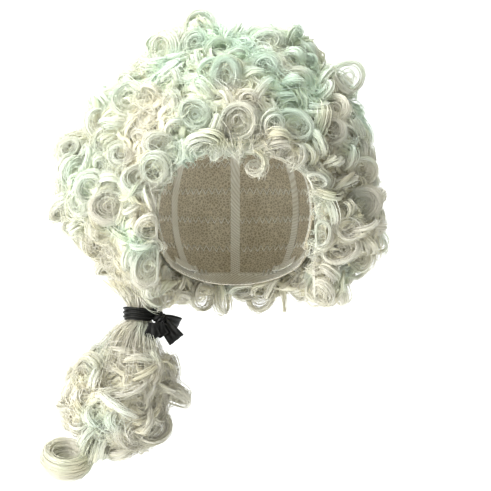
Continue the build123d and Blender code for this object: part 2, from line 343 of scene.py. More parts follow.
def curl_locks(centres, normals, axes, rng, radius, turns, width, strands, points,
               lead=26.0, depth=5.5, frizz=1.1, thick=0.24, room=None):
    """Ring curls: each lock leaves the cap under its place and winds into a loose ring.
    Some of the strands wind tighter and lie across the inside of the ring."""
    count = len(centres)
    radius = np.broadcast_to(radius, count)
    side = unit(np.cross(axes, rng.normal(size=(count, 3))))
    other = np.cross(axes, side)
    t = np.linspace(0, 1, points)
    start = rng.uniform(0, 2 * math.pi, count)
    way = rng.choice([-1, 1], count)
    turns = rng.uniform(*turns, count)

    def per_strand(spread):
        values = rng.uniform(-spread, spread, (count, strands, 1))
        values[:, 0] = 0
        return values

    def per_tress(spread):
        """A lock is a few thinner tresses, and each strand lies in one of them."""
        values = rng.uniform(-spread, spread, (count, TRESSES, 1))
        return values[:, np.arange(strands) % TRESSES] * (np.arange(strands) > 0)[:, None]

    along_axis = (per_tress(0.36) + per_strand(0.24)) * width
    outward_shift = (per_tress(0.30) + per_strand(0.26)) * depth
    late = per_tress(0.12) + per_strand(0.05)
    swell = 1 + per_strand(0.03)
    inner = rng.uniform(size=(count, strands, 1)) < INNER_SHARE
    inner[:, 0] = False
    swell = np.where(inner, rng.uniform(0.2, 0.9, inner.shape), swell)
    spiral = rng.uniform(0.12, 0.75, (count, 1, 1))
    squash = rng.uniform(0.62, 1.0, (count, 1, 1, 1))
    angle = start[:, None, None] + way[:, None, None] * 2 * math.pi * (
        turns[:, None, None] * t + late * t)
    reach = radius[:, None, None] * swell * (1.08 - spiral * t) + outward_shift * (1 - 0.5 * t)
    spread = along_axis * (1 - 0.35 * t ** 2)
    rise = RING_PITCH * (turns[:, None, None] * (t - 0.6)) + spread
    ring = (side[:, None, None] * (np.cos(angle) * reach)[..., None]
            + other[:, None, None] * (np.sin(angle) * reach)[..., None] * squash
            + axes[:, None, None] * rise[..., None])
    wave = np.zeros(ring.shape)
    for cycles in (1.3, 2.9, 5.3):
        wobble = rng.normal(size=(count, strands, 1, 3))
        wobble[:, 0] = 0
        phase = rng.uniform(0, 2 * math.pi, (count, strands, 1))
        wave += wobble * np.sin(cycles * 2 * math.pi * t + phase)[..., None] / cycles
    ring += wave * frizz
    lead_share = np.clip(1 - t / 0.24, 0, 1)
    lead_share = (lead_share ** 2 * (3 - 2 * lead_share))[None, None, :, None]
    root = -normals[:, None, None] * lead + ring * 0.35
    lines = centres[:, None, None] + ring * (1 - lead_share) + root * lead_share
    if room:
        lines = keep_out(room, lines)
    taper = np.clip((1.02 - t) / 0.12, 0.25, 1)
    size = rng.uniform(0.75, 1.25, (count, strands, 1)) * thick * taper
    cross = np.broadcast_to(axes[:, None, None], lines.shape)
    return lines, size, cross


def grow_pieces(name, kind, locks, body, stands_for=None):
    """Makes the meshes of some locks: a soft core down each lock's middle, and its strands."""
    # The under layer is drawn in the darker copies of the fibre, as painted shade deep under the rings.
    material = {"outer": fibre, "under": shaded_under_fibre}[kind]
    core = {"outer": fibre_core, "under": shaded_under_core}[kind]
    made = []
    for group, (lines, size, cross, width, depth) in enumerate(locks, start=1):
        count, strands, points, _ = lines.shape
        t = np.linspace(0, 1, points)
        taper = np.clip(np.minimum(t, 1 - t) / 0.15, 0.08, 1)
        radius = np.broadcast_to(width * CORE_SHARE * taper, (count, points))
        mesh = strand_mesh(f"{name}_{kind}_core_{group}", lines[:, 0], radius, cross[:, 0], 8,
                           depth / width)
        made.append(add_piece(mesh.name, mesh, core, body))
        flat = [values[:, 1:].reshape(count * (strands - 1), points, -1)
                for values in (lines, size[..., None], cross)]
        limit = TRIANGLES // (6 * (points - 1))
        for number, first in enumerate(range(0, len(flat[0]), limit), start=1):
            part = slice(first, first + limit)
            mesh = strand_mesh(f"{name}_{kind}_{group}_{number}", flat[0][part],
                               flat[1][part][..., 0], flat[2][part])
            made.append(add_piece(mesh.name, mesh, material, body))
    for piece in made:
        if stands_for:
            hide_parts(stands_for)
    return made


def curl_axes(normals, rng, facing):
    """Ring axes: some rings lie flat on the head and face outward, the others are barrels."""
    count = len(normals)
    loose = unit(rng.normal(size=(count, 3)))
    tangent = unit(np.cross(normals, loose))
    flat = unit(normals + 0.55 * loose)
    barrel = unit(tangent + 0.35 * rng.normal(size=(count, 3)))
    return np.where((rng.uniform(size=count) < facing)[:, None], flat, barrel)


# --- Materials -------------------------------------------------------------------------------


def node(tree, kind, **settings):
    made = tree.nodes.new(kind)
    for key, value in settings.items():
        setattr(made, key, value)
    return made


def ramp_of(tree, stops):
    """A colour ramp through (position, colour) stops."""
    ramp = node(tree, "ShaderNodeValToRGB")
    while len(ramp.color_ramp.elements) < len(stops):
        ramp.color_ramp.elements.new(0.5)
    for element, (position, colour) in zip(ramp.color_ramp.elements, stops):
        element.position = position
        element.color = (*colour, 1)
    return ramp


def noise_of(tree, source, stretch, detail=1.0):
    """Noise over a coordinate that is stretched along each of its axes."""
    scaled = node(tree, "ShaderNodeVectorMath", operation="MULTIPLY")
    scaled.inputs[1].default_value = stretch
    tree.links.new(source, scaled.inputs[0])
    noise = node(tree, "ShaderNodeTexNoise")
    noise.inputs["Scale"].default_value = 1.0
    noise.inputs["Detail"].default_value = detail
    tree.links.new(scaled.outputs[0], noise.inputs["Vector"])
    return noise


def multiplied(tree, first, second, factor=1.0):
    mix = node(tree, "ShaderNodeMix", data_type="RGBA", blend_type="MULTIPLY")
    mix.inputs["Factor"].default_value = factor
    tree.links.new(first, mix.inputs["A"])
    tree.links.new(second, mix.inputs["B"])
    return mix.outputs["Result"]


def hair_material(name, shaded_root_colour, body_colour, tip_colour, roughness, stripes=0.0):
    """Glossy synthetic fibre: colour runs from a darker root, painted shade deep under the rings, to a
    paler tip, and differs from strand to strand. It drifts at random between mint, cream and pale
    yellow over the wig, and by height turns mint towards the top and warmer lower down, a painted tint
    of the top light and painted warm shade. With stripes, one tube stands for a lock and is ridged
    lengthwise like many strands, and the grooves between ridges are painted darker as shade."""
    material = bpy.data.materials.new(name)
    material.use_nodes = True
    tree = material.node_tree
    shader = tree.nodes["Principled BSDF"]
    shader.inputs["Roughness"].default_value = roughness
    shader.inputs["Specular IOR Level"].default_value = 0.5
    shader.inputs["Sheen Weight"].default_value = 0.1
    shader.inputs["Sheen Roughness"].default_value = 0.4
    uv = node(tree, "ShaderNodeUVMap", uv_map="OFBake").outputs["UV"]
    split = node(tree, "ShaderNodeSeparateXYZ")
    tree.links.new(uv, split.inputs[0])
    # Darker at the root, which lies deep under the rings: painted shade.
    length = ramp_of(tree, ((0.0, shaded_root_colour), (0.30, body_colour), (0.85, tip_colour)))
    tree.links.new(split.outputs["X"], length.inputs["Fac"])
    place = node(tree, "ShaderNodeTexCoord").outputs["Object"]
    height = node(tree, "ShaderNodeSeparateXYZ")
    tree.links.new(place, height.inputs[0])
    # Mint towards the top and warmer cream lower down, by height: a painted tint of the mint top light
    # and painted warm shade. The noise added to it gives random patches of tone.
    lower = node(tree, "ShaderNodeMapRange")
    for socket, value in (("From Min", -0.10), ("From Max", 0.16), ("To Min", 0.24), ("To Max", -0.12)):
        lower.inputs[socket].default_value = value
    tree.links.new(height.outputs["Z"], lower.inputs["Value"])
    patch = node(tree, "ShaderNodeMath", operation="ADD")
    tree.links.new(noise_of(tree, place, (19.0, 19.0, 19.0)).outputs["Fac"], patch.inputs[0])
    tree.links.new(lower.outputs["Result"], patch.inputs[1])
    drift = ramp_of(tree, ((0.32, (0.86, 1.0, 0.94)), (0.50, (0.97, 1.0, 0.96)),
                           (0.66, (1.0, 0.955, 0.91))))
    tree.links.new(patch.outputs[0], drift.inputs["Fac"])
    # Each strand a little lighter or darker at random. On striped tubes the same noise also sets the
    # bump, so the grooves between ridges come out darker as painted shade.
    strand = noise_of(tree, uv, (3.0, stripes or 900.0, 1.0))
    shade = ramp_of(tree, ((0.32, (0.90, 0.91, 0.80)), (0.62, (1.0, 1.0, 1.0))))
    tree.links.new(strand.outputs["Fac"], shade.inputs["Fac"])
    colour = multiplied(tree, length.outputs["Color"], drift.outputs["Color"])
    colour = multiplied(tree, colour, shade.outputs["Color"])
    tree.links.new(colour, shader.inputs["Base Color"])
    if stripes:
        bump = node(tree, "ShaderNodeBump")
        bump.inputs["Strength"].default_value = 0.8
        bump.inputs["Distance"].default_value = 0.0005
        tree.links.new(strand.outputs["Fac"], bump.inputs["Height"])
        tree.links.new(bump.outputs["Normal"], shader.inputs["Normal"])
    return material


# The lock cores are a little darker than the fibre, painted shade inside each lock. The under-layer
# fibre, its cores and the flat tresses are darker and warmer still, painted shade deep under the rings.
fibre = hair_material("ivory_fibre", (0.90, 0.88, 0.72), (0.96, 0.965, 0.91), (0.975, 0.98, 0.945),
                      0.30)
shaded_under_fibre = hair_material("ivory_fibre_painted_shade", (0.90, 0.86, 0.70), (0.94, 0.93, 0.80),
                            (0.95, 0.95, 0.86), 0.42)
fibre_core = hair_material("ivory_lock", (0.90, 0.88, 0.72), (0.95, 0.955, 0.89), (0.96, 0.965, 0.92),
                           0.36, 7000.0)
shaded_under_core = hair_material("ivory_lock_painted_shade", (0.90, 0.86, 0.70), (0.93, 0.92, 0.78),
                           (0.94, 0.935, 0.83), 0.45, 7000.0)
shaded_tress = hair_material("ivory_tress_painted_shade", (0.91, 0.88, 0.73), (0.94, 0.93, 0.80), (0.95, 0.945, 0.85),
                      0.42, 9000.0)

# --- Curls on the head -----------------------------------------------------------------------

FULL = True
LOW = np.array([-185.0, -150.0, -125.0])
HIGH = np.array([165.0, 170.0, 180.0])

# Ring curls that stand out in the front view: across, up and radius
NOTED_CURLS = (
    (-80, 15, 17), (-33, 70, 14), (28, 115, 17), (66, 124, 10), (112, -6, 18), (-110, -8, 16),
    (-62, 44, 19), (94, -46, 17), (4, 64, 15), (-98, 36, 17), (52, 62, 17), (-74, -60, 20),
    (-8, 104, 18), (84, 58, 16), (100, -74, 15), (-36, 140, 19), (30, 142, 15), (-148, 44, 15),
)


def front_of(across, height, depth):
    """The point on the front of the curls at a place in the front view, or none."""
    depths = np.arange(-170.0, 60.0, 1.0)
    line = np.stack([np.full(len(depths), float(across)), depths,
                     np.full(len(depths), float(height))], -1)
    inside = np.nonzero(curl_space(line) < -depth)[0]
    return line[inside[0]] if len(inside) else None


def noted_places():
    """The noted curls, dropped onto the front of the curl space along the line of sight."""
    places = [front_of(across, height, 6.0) for across, height, _ in NOTED_CURLS]
    return np.array([place for place in places if place is not None])


def row_of(points):
    """Which weft row a point belongs to, by its angle from straight up at the head centre."""
    way = unit(points - HEAD_CENTRE)
    angle = np.degrees(np.arccos(np.clip(way[:, 2], -1, 1)))
    return np.clip(np.searchsorted(ROW_ENDS, angle, side="right") - 1, 0, len(ROW_NODES) - 1)


def grow(rng):
    """Every lock on the head, in layers from the outside in."""
    noted = noted_places()
    radii = np.array([r for _, _, r in NOTED_CURLS], float)[:len(noted)]
    layers = []
    front = np.tile([0.0, -1.0, 0.12], (len(noted), 1)) + rng.normal(size=(len(noted), 3)) * 0.10
    layers.append((noted, outward(curl_space, noted), unit(front), radii,
                   dict(turns=(2.2, 3.0), width=10.0, depth=8.0, strands=44, points=42), "outer"))
    outer = scatter(curl_space, LOW, HIGH, 18.0, 7.0, rng, noted)
    normals = outward(curl_space, outer)
    outer = outer + normals * rng.uniform(-4.0, 3.5, (len(outer), 1))
    layers.append((outer, normals, curl_axes(normals, rng, 0.5), rng.uniform(10.0, 17.5, len(outer)),
                   dict(turns=(1.3, 2.5), width=10.5, depth=8.5, strands=22, points=28, thick=0.29),
                   "outer"))
    second = scatter(curl_space, LOW, HIGH, 20.0, 12.0, rng)
    normals = outward(curl_space, second)
    layers.append((second, normals, curl_axes(normals, rng, 0.5), rng.uniform(11, 17, len(second)),
                   dict(turns=(1.3, 2.2), width=13.0, depth=8.0, strands=14, points=22, thick=0.42,
                        lead=18.0), "under"))
    return layers


def wandering(space, places, rng, length, points, bend, depth, room=None):
    """Lines that wander over the skin at a depth inside a space, each winding its own way."""
    count = len(places)
    normals = outward(space, places)
    first = unit(np.cross(normals, rng.normal(size=(count, 3))))
    second = np.cross(normals, first)
    t = np.linspace(-0.5, 0.5, points)
    heading = rng.uniform(0, 2 * math.pi, (count, 1)) + length / rng.uniform(*bend, (count, 1)) * (
        t * rng.choice([-1, 1], (count, 1)) + 0.12 * np.sin(t * 12 + rng.uniform(0, 6, (count, 1))))
    step = length / (points - 1)
    right, ahead = (np.cumsum(f(heading) * step, axis=1) for f in (np.cos, np.sin))
    right, ahead = (v - v.mean(axis=1, keepdims=True) for v in (right, ahead))
    lines = (places[:, None] + first[:, None] * right[..., None] + second[:, None] * ahead[..., None])
    flat = lines.reshape(-1, 3)
    rise = np.broadcast_to(rng.uniform(*depth, (count, 1)), (count, points)) + 2.0 * np.sin(
        t * 9 + rng.uniform(0, 6, (count, 1)))
    for _ in range(2):
        flat = flat - outward(space, flat) * (space(flat) + rise.ravel())[:, None]
    if room:
        flat = keep_out(room, flat, 2.5)
    lines = flat.reshape(lines.shape)
    cross = np.cross(outward(space, flat).reshape(lines.shape), unit(np.gradient(lines, axis=1)))
    return lines, cross


def mat_pieces(name, space, places, rng, body, stands_for, depth, flyaways=4, room=None):
    """What fills the space between rings: flat tresses below, and a few loose hairs on top."""
    lower = np.repeat(places, MAT_TRESSES, axis=0)
    lines, cross = wandering(space, lower, rng, MAT_LENGTH, MAT_POINTS, (10.0, 26.0), depth, room)
    size = np.sin(np.linspace(0.25, math.pi - 0.25, MAT_POINTS))[None] * rng.uniform(
        3.2, 5.0, (len(lower), 1))
    mesh = strand_mesh(f"{name}_tresses", lines, size, cross, 6, 0.28)
    # The flat tresses take a darker copy of the fibre, as painted shade between the rings.
    made = [add_piece(mesh.name, mesh, shaded_tress, body)]
    upper = np.repeat(places, flyaways, axis=0) + rng.normal(size=(len(places) * flyaways, 3)) * 7
    lines, cross = wandering(space, upper, rng, FLYAWAY_LENGTH, FLYAWAY_POINTS, (9.0, 34.0),
                             (-1.5, 11.0), room)
    size = np.broadcast_to(rng.uniform(0.10, 0.22, (len(upper), 1)), lines.shape[:2])
    mesh = strand_mesh(f"{name}_flyaways", lines, size, cross)
    made.append(add_piece(mesh.name, mesh, fibre, body))
    for piece in made:
        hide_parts(stands_for)


def head_curls():
    rng = np.random.default_rng(11)
    share = 1.0 if FULL else 0.8
    by_row = {}
    for centres, normals, axes, radii, shape, kind in grow(rng):
        shape = dict(shape)
        shape["strands"] = max(5, int(shape["strands"] * share))
        lines, size, cross = curl_locks(centres, normals, axes, rng, radii, room=kept_open,
                                        **shape)
        rows = row_of(centres)
        for row in np.unique(rows):
            pick = rows == row
            by_row.setdefault((row, kind), []).append(
                (lines[pick], size[pick], cross[pick], shape["width"], shape["depth"]))
    for (row, kind), locks in sorted(by_row.items()):
        grow_pieces(ROW_NODES[row], kind, locks, "cap_and_curls", ROW_NODES[row])
    places = scatter(curl_space, LOW, HIGH, 12.0, 13.0, rng)
    rows = row_of(places)
    for row in np.unique(rows):
        mat_pieces(ROW_NODES[row], curl_space, places[rows == row], rng, "cap_and_curls",
                   ROW_NODES[row], (9.5, 16.0), room=kept_open)


head_curls()

# --- Ponytail --------------------------------------------------------------------------------


def ponytail_curls():
    """Looser, longer rings in the ponytail, on a soft mass of under-curls."""
    rng = np.random.default_rng(23)
    low, high = np.array([-165.0, -85.0, -240.0]), np.array([-40.0, 15.0, -120.0])
    locks = {"outer": [], "under": []}
    for kind, spacing, depth, radius, shape in (
        ("outer", 15.0, 8.0, (14.0, 20.0), dict(turns=(1.0, 2.0), width=12.0, depth=8.0,
                                                strands=40, points=32, thick=0.27, frizz=1.7)),
        ("under", 17.0, 14.0, (12.0, 18.0), dict(turns=(0.9, 1.6), width=14.0, depth=9.0,
                                                 strands=20, points=22, thick=0.4, frizz=1.7)),
    ):
        places = scatter(ponytail_space, low, high, spacing, depth, rng)
        places = places[np.linalg.norm(places - END_CURL, axis=1) > END_RING_ROOM]
        normals = outward(ponytail_space, places)
        axes = curl_axes(normals, rng, 0.5 if kind == "outer" else 0.3)
        radii = rng.uniform(*radius, len(places))
        lines, size, cross = curl_locks(places, normals, axes, rng, radii, lead=18.0, **shape)
        locks[kind].append((lines, size, cross, shape["width"], shape["depth"]))
    for kind, group in locks.items():
        grow_pieces("ponytail_curls", kind, group, "ponytail", "ponytail_curls")
    places = scatter(ponytail_space, low, high, 12.0, 12.0, rng)
    places = places[np.linalg.norm(places - END_CURL, axis=1) > END_MAT_ROOM]
    mat_pieces("ponytail_curls", ponytail_space, places, rng, "ponytail", "ponytail_curls",
               (7.0, 15.0), flyaways=8)


def disc(rng, count, radius):
    """Even random places in a disc."""
    angle = rng.uniform(0, 2 * math.pi, count)
    reach = radius * np.sqrt(rng.uniform(0, 1, count))
    return np.stack([np.cos(angle) * reach, np.sin(angle) * reach], -1)


def flowing(stations, points):
    """Smooth lines through stations; stations is strands x stops x 3."""
    stops = stations.shape[1]
    t = np.linspace(0, stops - 1, points)
    at = np.minimum(t.astype(int), stops - 2)
    f = (t - at)[None, :, None]
    padded = np.concatenate([2 * stations[:, :1] - stations[:, 1:2], stations,
                             2 * stations[:, -1:] - stations[:, -2:-1]], axis=1)
    before, here, there, after = (padded[:, at + k] for k in range(4))
    return 0.5 * (2 * here + (there - before) * f
                  + (2 * before - 5 * here + 4 * there - after) * f ** 2
                  + (3 * here - before - 3 * there + after) * f ** 3)


def flowing_piece(name, stations, points, thick, rng, frizz=0.4):
    """A piece of hair whose strands run smoothly through stations, each with a slow wave."""
    lines = flowing(stations, points)
    wave = rng.normal(size=(len(lines), 1, 3)) * np.sin(
        np.linspace(0, 9, points)[None] + rng.uniform(0, 6, (len(lines), 1)))[..., None]
    lines = lines + wave * frizz
    size = np.broadcast_to(rng.uniform(0.7, 1.3, (len(lines), 1)) * thick, lines.shape[:2])
    cross = np.broadcast_to(rng.normal(size=(len(lines), 1, 3)), lines.shape)
    mesh = strand_mesh(name, lines, size, cross)
    piece = add_piece(name, mesh, fibre, None)
    return piece


def face_edge():
    """Places along the edge of the face opening, each with its direction in towards the face."""
    centre_left, centre_right = FACE_LEFT + FACE_CORNER, FACE_RIGHT - FACE_CORNER
    low, high = -82.0, FACE_TOP - FACE_CORNER
    places = [(FACE_LEFT, z, 1.0, 0.0) for z in np.arange(low, high, 4.0)]
    for centre, angles in ((centre_left, (180, 90)), (centre_right, (90, 0))):
        places += [(centre + FACE_CORNER * math.cos(a), high + FACE_CORNER * math.sin(a),
                    -math.cos(a), -math.sin(a)) for a in np.radians(np.linspace(*angles, 18))]
    places += [(x, FACE_TOP, 0.0, -1.0) for x in np.arange(centre_left, centre_right, 4.0)]
    return places + [(FACE_RIGHT, z, -1.0, 0.0) for z in np.arange(low, high, 4.0)]


def fringe():
    """Soft wisps that break the edge of the face opening, and one small curl on the forehead."""
    rng = np.random.default_rng(53)
    stops = []
    for x, z, in_x, in_z in face_edge() * 3:
        inward = np.array([in_x, 0.0, in_z])
        root = front_of(x - in_x * 10, z - in_z * 10, rng.uniform(3, 14 + 30 * abs(in_x)))
        if root is None:
            continue
        slide = np.cross(inward, [0, 1, 0]) * rng.uniform(-11, 11)
        over = rng.uniform(-3, 6)
        line = np.array([root, root + inward * (7 + over * 0.3) + slide * 0.3 + [0, -2.5, 0],
                         root + inward * (10 + over) + slide * 0.8 + [0, 3, 0],
                         root + inward * (7 + over * 0.5) + slide * 1.3 + [0, 9, 0]])
        for _ in range(9 if FULL else 5):
            stops.append(line + rng.normal(size=(4, 3)) * [[2.2], [2.0], [2.0], [2.6]])
    turn = np.linspace(0, 1.35 * 2 * math.pi, 9)
    curl = np.stack([18 + 8 * np.sin(turn) * np.linspace(1.1, 0.6, 9), np.linspace(-119, -106, 9),
                     30 - 4 * turn / 3 + 8 * np.cos(turn) * np.linspace(1.1, 0.6, 9)], -1)
    wisps = np.array(stops)
    piece = flowing_piece("fringe_wisps", wisps, 12, 0.20, rng, frizz=0.5)
    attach(piece, "cap_and_curls")
    strands = curl[None] + rng.normal(size=(34, 1, 3)) * 1.5 + rng.normal(size=(34, 9, 3)) * 0.5
    piece = flowing_piece("forehead_curl", strands, 40, 0.20, rng, frizz=0.3)
    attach(piece, "cap_and_curls")


def ponytail_neck():
    """The combed hair above the tie and the looser hair that opens out below it."""
    rng = np.random.default_rng(31)
    count = 520 if FULL else 200
    tight = disc(rng, count, 9.5)
    wide = tight * rng.uniform(2.2, 4.6, (count, 1)) + rng.normal(size=(count, 2)) * 3
    above = np.stack([
        np.column_stack([TIE[0] + wide[:, 0], TIE[1] + 10 + wide[:, 1], np.full(count, -74.0)]),
        np.column_stack([TIE[0] + tight[:, 0] * 1.9, TIE[1] + 4 + tight[:, 1] * 1.9,
                         np.full(count, -90.0)]),
        np.column_stack([TIE[0] + tight[:, 0], TIE[1] + tight[:, 1], np.full(count, TIE[2] + 2)]),
        np.column_stack([TIE[0] + tight[:, 0] * 0.95, TIE[1] + tight[:, 1] * 0.95,
                         np.full(count, TIE[2] - 5)]),
    ], axis=1)
    combed = flowing_piece("combed_hair", above, 12, 0.30, rng)
    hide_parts("gathered_hair")
    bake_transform(combed)

    flare = tight / 9.5
    reach = rng.uniform(0.55, 1.0, (count, 1))
    drop = rng.uniform(0, 14, count)
    below = np.stack([
        np.column_stack([TIE[0] + tight[:, 0], TIE[1] + tight[:, 1], np.full(count, TIE[2] + 4)]),
        np.column_stack([TIE[0] + tight[:, 0], TIE[1] + tight[:, 1], np.full(count, TIE[2] - 5)]),
        BEND + np.column_stack([flare * [21, 15] - [3, 2], np.full(count, -2.0)]),
        np.column_stack([-96 + flare[:, 0] * 40 * reach[:, 0], -31 + flare[:, 1] * 30 * reach[:, 0],
                         -134 - drop]),
        np.column_stack([-98 + flare[:, 0] * 44 * reach[:, 0], -32 + flare[:, 1] * 34 * reach[:, 0],
                         -156 - drop]),
        np.column_stack([-100 + flare[:, 0] * 30 * reach[:, 0], -34 + flare[:, 1] * 24 * reach[:, 0],
                         -178 - drop]),
    ], axis=1)
    loose = flowing_piece("ponytail_neck_hair", below, 24, 0.25, rng, frizz=1.3)
    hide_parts("ponytail_neck")
    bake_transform(loose)


def end_curl():
    """The single fat curl at the end of the ponytail: a short coil, open at the top."""
    rng = np.random.default_rng(41)
    count, points = (190 if FULL else 70), 70
    axis = unit(np.array([0.10, -0.50, 0.86]))
    side = END_PIVOT - END_CURL
    side = unit(side - axis * np.dot(side, axis))
    other = np.cross(axis, side)
    t = np.linspace(0, 1, points)
    in_tress = np.arange(count) % 6
    spread = disc(rng, 6, 0.45)[in_tress] + disc(rng, count, 0.7)
    spread[0] = 0
    angle = -2 * math.pi * (2.15 + rng.uniform(-0.04, 0.04, (count, 1))) * t
    swell = 1 + 0.25 * np.sin(t * math.pi)
    reach = 20.0 - 9.5 * t ** 1.4 + spread[:, :1] * 6.0 * swell
    rise = 7.0 - 16.0 * t + spread[:, 1:] * 7.5 * swell
    lines = END_CURL + ((side * np.cos(angle)[..., None] + other * np.sin(angle)[..., None])
                        * reach[..., None] + axis * rise[..., None])
    wave = rng.normal(size=(count, 1, 3)) * np.sin(
        t * 13 + rng.uniform(0, 6, (count, 1)))[..., None]
    lines[1:] += wave[1:] * 0.9
    size = np.broadcast_to(rng.uniform(0.75, 1.25, (count, 1)) * 0.25, (count, points))
    cross = np.broadcast_to(axis, lines.shape)
    grow_pieces("end_curl_lock", "outer", [(lines[None], size[None], cross[None], 19.0, 15.0)],
                "end_curl", "ponytail_end_curl")
    start = lines[:130 if FULL else 60, 0]
    following = lines[:len(start), 5]
    offset = (start - start.mean(axis=0))
    stops = np.stack([
        np.array([-106.0, -54.0, -184.0]) + offset * 2.7,
        np.array([-119.0, -51.0, -207.0]) + offset * 2.0,
        start * 0.5 + following * 0.5 + (start - following) * 0.9,
        following,
    ], axis=1)
    lead = flowing_piece("end_curl_lead", stops, 16, 0.27, rng)
    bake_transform(lead)


fringe()
ponytail_curls()
ponytail_neck()
end_curl()

# --- Ribbon ----------------------------------------------------------------------------------

KNOT = np.array([-68.0, -21.0, -108.0])
KNOT_HALF, RIBBON_WIDTH, LOOP_LENGTH, LOOP_THICK = 5.5, 16.0, 20.0, 7.0


def satin_material():
    """Black satin: a fine twill that runs along the ribbon, with softer and shinier places."""
    material = bpy.data.materials.new("black_satin")
    material.use_nodes = True
    tree = material.node_tree
    shader = tree.nodes["Principled BSDF"]
    shader.inputs["Specular IOR Level"].default_value = 0.28
    uv = node(tree, "ShaderNodeUVMap", uv_map="OFBake").outputs["UV"]
    thread = noise_of(tree, uv, (22.0, 260.0, 1.0))
    # Threads and grooves come from one noise: the grooves, set lower by the bump, are painted a touch
    # darker as shade.
    tone = ramp_of(tree, ((0.35, (0.002, 0.002, 0.002)), (0.65, (0.009, 0.009, 0.008))))
    tree.links.new(thread.outputs["Fac"], tone.inputs["Fac"])
    tree.links.new(tone.outputs["Color"], shader.inputs["Base Color"])
    gloss = node(tree, "ShaderNodeMapRange")
    for socket, value in (("From Min", 0.3), ("From Max", 0.7), ("To Min", 0.30), ("To Max", 0.55)):
        gloss.inputs[socket].default_value = value
    tree.links.new(noise_of(tree, uv, (4.0, 3.0, 1.0)).outputs["Fac"], gloss.inputs["Value"])
    tree.links.new(gloss.outputs["Result"], shader.inputs["Roughness"])
    bump = node(tree, "ShaderNodeBump")
    bump.inputs["Strength"].default_value = 0.35
    bump.inputs["Distance"].default_value = 0.0002
    tree.links.new(thread.outputs["Fac"], bump.inputs["Height"])
    tree.links.new(bump.outputs["Normal"], shader.inputs["Normal"])
    return material


satin = satin_material()


def ribbon(name, stands_for, body, middle, across, width, crease, folds=3, bulge=0.0):
    """A length of ribbon: its middle line, the way its width runs, and creases along it."""
    rows, columns = len(middle), 25
    v = np.linspace(-0.5, 0.5, columns)
    across = unit(np.broadcast_to(np.array(across, float), middle.shape))
    facing = np.cross(unit(np.gradient(middle, axis=0)), across)
    width = np.broadcast_to(width, rows)
    lift = np.broadcast_to(crease, rows)[:, None] * np.sin(v * folds * 2 * math.pi)[None]
    lift = lift + bulge * np.cos(v * math.pi)[None]
    points = (middle[:, None] + across[:, None] * (v[None] * width[:, None])[..., None]
              + facing[:, None] * lift[..., None])
    row, column = np.meshgrid(np.arange(rows - 1), np.arange(columns - 1), indexing="ij")
    first = (row * columns + column).ravel()
    faces = np.stack([first, first + 1, first + columns + 1, first + columns], -1)
    mesh = bpy.data.meshes.new(name)
    mesh.from_pydata((points.reshape(-1, 3) * MM).tolist(), [], faces.tolist())
    mesh.polygons.foreach_set("use_smooth", [True] * len(faces))
    along = np.stack([row, row, row + 1, row + 1], -1) / (rows - 1)
    over = np.stack([column, column + 1, column + 1, column], -1) / (columns - 1)
    layer = mesh.uv_layers.new(name="OFBake")
    layer.data.foreach_set("uv", np.stack([along, over], -1).astype(np.float32).ravel())
    piece = add_piece(name, mesh, satin, body)
    thicken = piece.modifiers.new("thickness", "SOLIDIFY")
    thicken.thickness, thicken.offset = 0.0004, 0.0
    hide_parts(stands_for)
    return piece


def ribbon_bow():
    away = math.atan2(KNOT[1] - TIE[1], KNOT[0] - TIE[0])
    angle = np.linspace(away - 0.15, away + 2 * math.pi + 0.15, 90)
    reach = np.linspace(14.6, 15.6, 90)
    middle = np.stack([TIE[0] + reach * np.cos(angle), TIE[1] + reach * np.sin(angle),
                       TIE[2] + 0.8 * np.sin(angle * 2)], -1)
    near = np.exp(-(np.minimum(angle - away, away + 2 * math.pi - angle) / 0.5) ** 2)
    ribbon("satin_wrap", "ribbon_wrap", "tied_neck", middle, (0, 0, 1), 11.5 - 3.0 * near,
           0.7)

    axis = unit(np.array([0.62, 0.12, -0.60]))
    side = unit(np.cross(axis, [0, 1, 0]))
    other = np.cross(axis, side)
    angle = np.linspace(0, 2 * math.pi * 1.04, 48)[:, None]
    middle = KNOT + (side * np.cos(angle) + other * np.sin(angle)) * np.linspace(4.4, 5.0, 48)[:, None]
    ribbon("satin_knot", "ribbon_knot", "tied_neck", middle, axis, 9.5,
           0.55, bulge=0.8)

    for name, heading in (("front", (0.62, -0.16, -0.77)), ("back", (0.62, 0.72, -0.30))):
        along = unit(np.array(heading))
        across = unit(np.cross(along, [0, 1, 0]))
        thick = np.cross(across, along)
        angle = np.linspace(math.pi, 3 * math.pi, 56)
        out = (1 + np.cos(angle)) / 2
        middle = (KNOT + along * (2.5 + (KNOT_HALF + LOOP_LENGTH - 2.5) * out)[:, None]
                  + thick * (LOOP_THICK / 2 * np.sin(angle) * (0.35 + 0.65 * out))[:, None])
        ribbon(f"satin_loop_{name}", f"bow_loop_{name}", "tied_neck", middle, across,
               7.0 + (RIBBON_WIDTH - 7.0) * out ** 0.55,
               0.75 * (1 - out) + 0.12)

    for name, right, back, length, area in (("short", 1.0, -8.0, 11.0, 136e-6),
                                            ("long", -6.0, -10.5, 13.0, 160e-6)):
        top = KNOT + [right, back, -KNOT_HALF - 1]
        drop = np.linspace(-3.0, length, 40)
        middle = top + np.stack([np.zeros(40), 0.5 * np.sin(drop * 0.45), -drop], -1)
        width = np.interp(drop, [-3, 0, length - 5, length], [7.0, 8.0, RIBBON_WIDTH, 0.6])
        ribbon(f"satin_tail_{name}", f"ribbon_tail_{name}", f"{name}_tail", middle, (1, 0, 0), width,
               np.interp(drop, [-3, length], [0.5, 0.15]), 2)


ribbon_bow()

# --- Cap -------------------------------------------------------------------------------------

# Height of the cap's rim at places from front to back
RIM_Y = (-150, -82, -50, -46, -26, -12, 4, 26, 58, 150)
RIM_Z = (40, 40, 20, -46, -46, -14, -14, -62, -80, -80)
CAP_INSIDE = 0.65                # how far outside the head form the stitches lie


